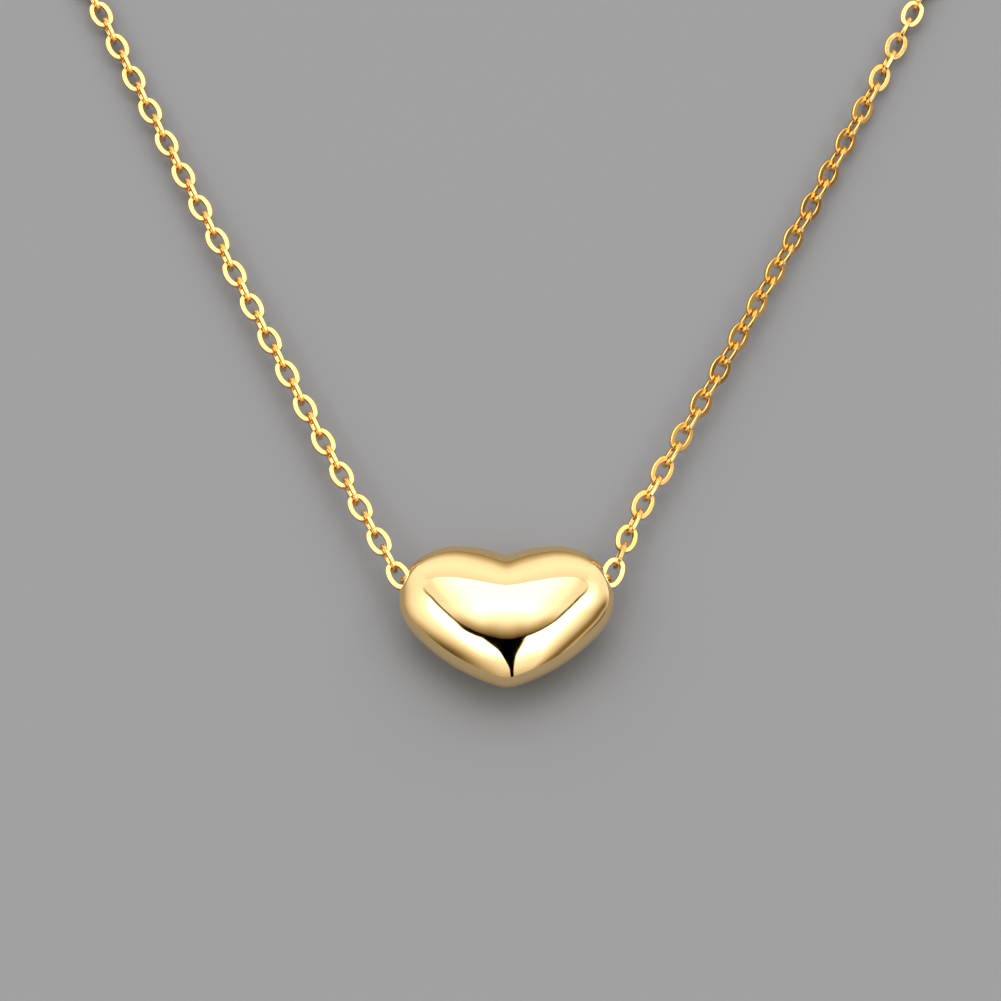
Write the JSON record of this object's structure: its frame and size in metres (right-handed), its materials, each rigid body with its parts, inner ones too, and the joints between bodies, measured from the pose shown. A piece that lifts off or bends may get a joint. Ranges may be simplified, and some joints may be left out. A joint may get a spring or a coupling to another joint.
{
  "type": "pendant necklace",
  "caption": "Puffed heart slider pendant on a flat oval cable chain, with a spring ring clasp and a short extender.",
  "frame": {"origin": "middle of the small flat on the heart's back, which lies on the surface", "axes": "+X to the wearer's left along the chain tube, +Y from the heart's tip towards the clasp, +Z out of the heart's face"},
  "size_m": [0.1081, 0.1755, 0.0055],
  "materials": {
    "gold_polished": "polished",
    "gold_chain": "polished",
    "steel_spring": "satin"
  },
  "bodies": {
    "centre_chain": {"centre_chain": "gold_chain"},
    "heart": {"heart_front_shell": "gold_polished", "heart_back_shell": "gold_polished", "heart_chain_tube": "gold_polished"},
    "right_chain_01": {"right_chain_01": "gold_chain"},
    "right_chain_02": {"right_chain_02": "gold_chain"},
    "right_chain_03": {"right_chain_03": "gold_chain"},
    "right_chain_04": {"right_chain_04": "gold_chain"},
    "right_chain_05": {"right_chain_05": "gold_chain"},
    "right_chain_06": {"right_chain_06": "gold_chain"},
    "right_chain_07": {"right_chain_07": "gold_chain"},
    "right_chain_08": {"right_chain_08": "gold_chain"},
    "right_chain_09": {"right_chain_09": "gold_chain"},
    "right_chain_10": {"right_chain_10": "gold_chain"},
    "right_chain_11": {"right_chain_11": "gold_chain"},
    "right_chain_12": {"right_chain_12": "gold_chain"},
    "right_chain_13": {"right_chain_13": "gold_chain"},
    "right_chain_14": {"right_chain_14": "gold_chain"},
    "right_end_ring": {"right_end_ring": "gold_polished"},
    "clasp": {"clasp_body": "gold_polished", "clasp_spring": "steel_spring"},
    "clasp_bolt": {"clasp_bolt": "gold_polished"},
    "left_chain_01": {"left_chain_01": "gold_chain"},
    "left_chain_02": {"left_chain_02": "gold_chain"},
    "left_chain_03": {"left_chain_03": "gold_chain"},
    "left_chain_04": {"left_chain_04": "gold_chain"},
    "left_chain_05": {"left_chain_05": "gold_chain"},
    "left_chain_06": {"left_chain_06": "gold_chain"},
    "left_chain_07": {"left_chain_07": "gold_chain"},
    "left_chain_08": {"left_chain_08": "gold_chain"},
    "left_chain_09": {"left_chain_09": "gold_chain"},
    "left_chain_10": {"left_chain_10": "gold_chain"},
    "left_chain_11": {"left_chain_11": "gold_chain"},
    "left_chain_12": {"left_chain_12": "gold_chain"},
    "left_chain_13": {"left_chain_13": "gold_chain"},
    "left_chain_14": {"left_chain_14": "gold_chain"},
    "left_end_ring": {"left_end_ring": "gold_polished"},
    "extender_01": {"extender_01": "gold_chain"},
    "extender_02": {"extender_02": "gold_chain"},
    "extender_03": {"extender_03": "gold_chain"},
    "extender_drop": {"extender_drop": "gold_polished"}
  },
  "joints": [
    {"name": "heart_swing", "type": "hinge", "parent": "centre_chain", "child": "heart", "pos_m": [0, 0.0025, 0.0023], "axis": [-1, 0, 0], "range_deg": [0, 45]},
    {"name": "right_bend_01", "type": "hinge", "parent": "centre_chain", "child": "right_chain_01", "pos_m": [0.00709, 0.00389, 0.00221], "axis": [-0.1659, 0.1365, -0.9766], "range_deg": [-3, 30]},
    {"name": "right_bend_02", "type": "hinge", "parent": "right_chain_01", "child": "right_chain_02", "pos_m": [0.00978, 0.01059, 0.00159], "axis": [0.7773, -0.3997, -0.4858], "range_deg": [0, 30]},
    {"name": "right_bend_03", "type": "hinge", "parent": "right_chain_02", "child": "right_chain_03", "pos_m": [0.01306, 0.01711, 0.00151], "axis": [-0.5512, 0.2589, -0.7932], "range_deg": [-30, 0]},
    {"name": "right_bend_04", "type": "hinge", "parent": "right_chain_03", "child": "right_chain_04", "pos_m": [0.01757, 0.02628, 0.00125], "axis": [0.6292, -0.3282, -0.7046], "range_deg": [0, 30]},
    {"name": "right_bend_05", "type": "hinge", "parent": "right_chain_04", "child": "right_chain_05", "pos_m": [0.02197, 0.0355, 0.00096], "axis": [-0.5761, 0.2504, -0.7781], "range_deg": [-30, 0]},
    {"name": "right_bend_06", "type": "hinge", "parent": "right_chain_05", "child": "right_chain_06", "pos_m": [0.0275, 0.04742, 0.00078], "axis": [0.8801, -0.4016, -0.2533], "range_deg": [0, 30]},
    {"name": "right_bend_07", "type": "hinge", "parent": "right_chain_06", "child": "right_chain_07", "pos_m": [0.03293, 0.05938, 0.00078], "axis": [0, 0, 1], "range_deg": [-30, 4]},
    {"name": "right_bend_08", "type": "hinge", "parent": "right_chain_07", "child": "right_chain_08", "pos_m": [0.03954, 0.07402, 0.00078], "axis": [-0.9119, 0.4104, 0], "range_deg": [-30, 0]},
    {"name": "right_bend_09", "type": "hinge", "parent": "right_chain_08", "child": "right_chain_09", "pos_m": [0.04611, 0.08868, 0.00078], "axis": [0, 0, -1], "range_deg": [-4, 30]},
    {"name": "right_bend_10", "type": "hinge", "parent": "right_chain_09", "child": "right_chain_10", "pos_m": [0.05196, 0.10361, 0.00079], "axis": [0.9654, -0.2608, 0], "range_deg": [0, 30]},
    {"name": "right_bend_11", "type": "hinge", "parent": "right_chain_10", "child": "right_chain_11", "pos_m": [0.05348, 0.11953, 0.00084], "axis": [0.0001, -0.0044, 1], "range_deg": [-30, 6]},
    {"name": "right_bend_12", "type": "hinge", "parent": "right_chain_11", "child": "right_chain_12", "pos_m": [0.05007, 0.13515, 0.00093], "axis": [-0.9373, -0.3486, 0], "range_deg": [-30, 0]},
    {"name": "right_bend_13", "type": "hinge", "parent": "right_chain_12", "child": "right_chain_13", "pos_m": [0.04205, 0.14899, 0.00102], "axis": [-0.0032, 0.0043, -1], "range_deg": [-20, 30]},
    {"name": "right_bend_14", "type": "hinge", "parent": "right_chain_13", "child": "right_chain_14", "pos_m": [0.03019, 0.15972, 0.00109], "axis": [0.56, 0.8285, 0], "range_deg": [0, 30]},
    {"name": "right_end_ring_swing", "type": "hinge", "parent": "right_chain_14", "child": "right_end_ring", "pos_m": [0.01562, 0.16632, 0.00112], "axis": [0.0004, -0.0001, 1], "range_deg": [-30, 30]},
    {"name": "clasp_swing", "type": "hinge", "parent": "right_end_ring", "child": "clasp", "pos_m": [0.01469, 0.16656, 0.00112], "axis": [0.2487, 0.9686, 0], "range_deg": [0, 60]},
    {"name": "clasp_bolt_slide", "type": "hinge", "parent": "clasp", "child": "clasp_bolt", "pos_m": [0.01029, 0.16757, 0.00105], "axis": [-0.0152, 0.0039, 0.9999], "range_deg": [0, 40], "stiffness_Nm_per_rad": 0.0002, "springref_deg": -11.46, "deforming": ["clasp_spring"]},
    {"name": "left_bend_01", "type": "hinge", "parent": "centre_chain", "child": "left_chain_01", "pos_m": [-0.00718, 0.00326, 0.00218], "axis": [-0.0641, 0.0132, 0.9979], "range_deg": [-3, 20]},
    {"name": "left_bend_02", "type": "hinge", "parent": "left_chain_01", "child": "left_chain_02", "pos_m": [-0.0104, 0.01022, 0.00176], "axis": [0.903, 0.4284, -0.0334], "range_deg": [0, 30]},
    {"name": "left_bend_03", "type": "hinge", "parent": "left_chain_02", "child": "left_chain_03", "pos_m": [-0.0135, 0.01682, 0.0014], "axis": [-0.0575, -0.036, -0.9977], "range_deg": [-30, 2]},
    {"name": "left_bend_04", "type": "hinge", "parent": "left_chain_03", "child": "left_chain_04", "pos_m": [-0.0178, 0.02609, 0.00126], "axis": [-0.907, -0.4159, 0.0659], "range_deg": [-30, 0]},
    {"name": "left_bend_05", "type": "hinge", "parent": "left_chain_04", "child": "left_chain_05", "pos_m": [-0.02204, 0.03538, 0.001], "axis": [0.0407, 0.0469, 0.9981], "range_deg": [-4, 30]},
    {"name": "left_bend_06", "type": "hinge", "parent": "left_chain_05", "child": "left_chain_06", "pos_m": [-0.02743, 0.04737, 0.00078], "axis": [0.9127, 0.4071, -0.0352], "range_deg": [0, 30]},
    {"name": "left_bend_07", "type": "hinge", "parent": "left_chain_06", "child": "left_chain_07", "pos_m": [-0.03275, 0.05938, 0.00078], "axis": [0, 0, -1], "range_deg": [-30, 20]},
    {"name": "left_bend_08", "type": "hinge", "parent": "left_chain_07", "child": "left_chain_08", "pos_m": [-0.03919, 0.07409, 0.00078], "axis": [-0.9172, -0.3984, 0], "range_deg": [-30, 0]},
    {"name": "left_bend_09", "type": "hinge", "parent": "left_chain_08", "child": "left_chain_09", "pos_m": [-0.04554, 0.08884, 0.00078], "axis": [0, 0, 1], "range_deg": [-30, 30]},
    {"name": "left_bend_10", "type": "hinge", "parent": "left_chain_09", "child": "left_chain_10", "pos_m": [-0.05132, 0.10381, 0.00079], "axis": [0.9635, 0.2676, 0], "range_deg": [0, 30]},
    {"name": "left_bend_11", "type": "hinge", "parent": "left_chain_10", "child": "left_chain_11", "pos_m": [-0.05292, 0.11972, 0.00084], "axis": [0.0001, 0.0043, -1], "range_deg": [-30, 30]},
    {"name": "left_bend_12", "type": "hinge", "parent": "left_chain_11", "child": "left_chain_12", "pos_m": [-0.04954, 0.13535, 0.00092], "axis": [-0.9372, 0.3487, 0], "range_deg": [-30, 0]},
    {"name": "left_bend_13", "type": "hinge", "parent": "left_chain_12", "child": "left_chain_13", "pos_m": [-0.0415, 0.14918, 0.00101], "axis": [-0.0032, -0.0043, 1], "range_deg": [-30, 30]},
    {"name": "left_bend_14", "type": "hinge", "parent": "left_chain_13", "child": "left_chain_14", "pos_m": [-0.0296, 0.15985, 0.00108], "axis": [0.5551, -0.8318, 0], "range_deg": [0, 30]},
    {"name": "left_end_ring_swing", "type": "hinge", "parent": "left_chain_14", "child": "left_end_ring", "pos_m": [-0.01498, 0.16634, 0.00112], "axis": [-0.0007, -0.0002, 1], "range_deg": [-30, 30]},
    {"name": "extender_bend_01", "type": "hinge", "parent": "left_end_ring", "child": "extender_01", "pos_m": [-0.01405, 0.16657, 0.00112], "axis": [0.2403, -0.9707, 0], "range_deg": [0, 30]},
    {"name": "extender_bend_02", "type": "hinge", "parent": "extender_01", "child": "extender_02", "pos_m": [-0.00353, 0.16497, 0.00125], "axis": [-0.0014, 0.0006, 1], "range_deg": [-30, 30]},
    {"name": "extender_bend_03", "type": "hinge", "parent": "extender_02", "child": "extender_03", "pos_m": [-0.00115, 0.1543, 0.00126], "axis": [0.9991, 0.0414, 0], "range_deg": [-30, 0]},
    {"name": "drop_swing", "type": "hinge", "parent": "extender_03", "child": "extender_drop", "pos_m": [-0.00024, 0.14304, 0.00146], "axis": [-0.0027, 0.0353, 0.9994], "range_deg": [-30, 30]}
  ]
}
